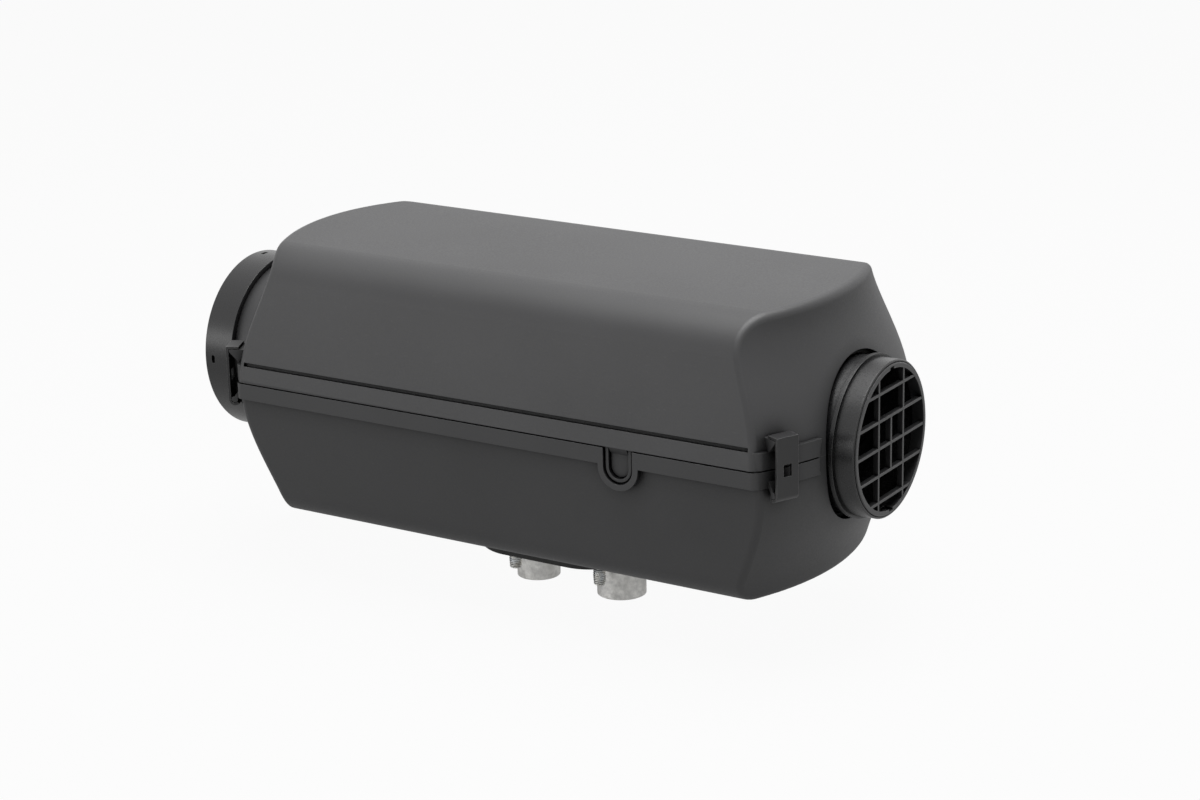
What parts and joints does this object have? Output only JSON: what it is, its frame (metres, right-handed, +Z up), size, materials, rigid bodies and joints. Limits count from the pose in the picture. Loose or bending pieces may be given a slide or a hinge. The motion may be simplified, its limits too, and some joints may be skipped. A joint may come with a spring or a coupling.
{
  "type": "diesel air heater",
  "caption": "Fuel-fired cabin air heater: clipped two-part plastic casing, duct collars at both ends, grilled inlet, foot with studs and pipe stubs.",
  "frame": {"origin": "middle of the foot's underside, on the face that is bolted down", "axes": "+X along the air path towards the air inlet, +Z up, away from the mounting face"},
  "size_m": [0.3723, 0.1599, 0.174],
  "materials": {
    "casing_plastic": "moulded, fine matt texture, dark grey",
    "collar_plastic": "moulded, smoother than the casing, near black",
    "grille_plastic": "moulded, satin, near black",
    "clip_plastic": "moulded, satin, near black",
    "seal_rubber": "moulded rubber",
    "cast_alloy": "die cast, blasted",
    "zinc_steel": "zinc plated",
    "burner_steel": "heat-resisting sheet",
    "gasket_fibre": "pressed fibre sheet",
    "blower_alloy": "die cast",
    "motor_steel": "drawn and plated",
    "core_iron": "stacked laminations, varnished",
    "ground_steel": "ground and polished",
    "impeller_alloy": "die cast, machined bore",
    "fan_plastic": "glass-filled moulding",
    "unit_plastic": "moulded, satin",
    "sensor_brass": "turned",
    "grommet_rubber": "moulded rubber"
  },
  "bodies": {
    "root": {"air_guide": "fan_plastic", "blower_cover": "blower_alloy", "blower_gasket": "gasket_fibre", "blower_housing": "blower_alloy", "blower_screws": "zinc_steel", "burner_gasket": "gasket_fibre", "burner_tube": "burner_steel", "cable_grommet": "grommet_rubber", "control_unit_case": "unit_plastic", "control_unit_lid": "unit_plastic", "control_unit_plug": "unit_plastic", "exchanger_foot": "cast_alloy", "exhaust_stub": "cast_alloy", "flange_seal": "seal_rubber", "fuel_pipe": "zinc_steel", "glow_plug": "burner_steel", "glow_plug_screen": "burner_steel", "heat_exchanger": "cast_alloy", "inlet_collar": "collar_plastic", "inlet_grille": "grille_plastic", "intake_duct": "grommet_rubber", "intake_stub": "cast_alloy", "lower_shell": "casing_plastic", "motor_bearings": "ground_steel", "motor_can": "motor_steel", "mounting_studs": "zinc_steel", "outlet_collar": "collar_plastic", "overheat_sensor": "sensor_brass", "sensor_clip": "zinc_steel", "stator_core": "core_iron", "upper_shell": "casing_plastic"},
    "rotor": {"motor_shaft": "ground_steel", "rotor_core": "core_iron", "combustion_impeller": "impeller_alloy", "fan_wheel": "fan_plastic", "fan_nut": "zinc_steel"},
    "clip_inlet_front_body": {"clip_inlet_front": "clip_plastic"},
    "clip_outlet_front_body": {"clip_outlet_front": "clip_plastic"}
  },
  "joints": [
    {"name": "fan_spin", "type": "hinge", "parent": "root", "child": "rotor", "pos_m": [0.1, 0, 0.0785], "axis": [1, 0, 0], "continuous": true},
    {"name": "clip_inlet_front_hinge", "type": "hinge", "parent": "root", "child": "clip_inlet_front_body", "pos_m": [0.1547, -0.06847, 0.0696], "axis": [0.4282, 0.9037, 0], "range_deg": [0, 60]},
    {"name": "clip_outlet_front_hinge", "type": "hinge", "parent": "root", "child": "clip_outlet_front_body", "pos_m": [-0.1593, -0.06847, 0.0696], "axis": [0.4282, -0.9037, 0], "range_deg": [0, 60]}
  ]
}
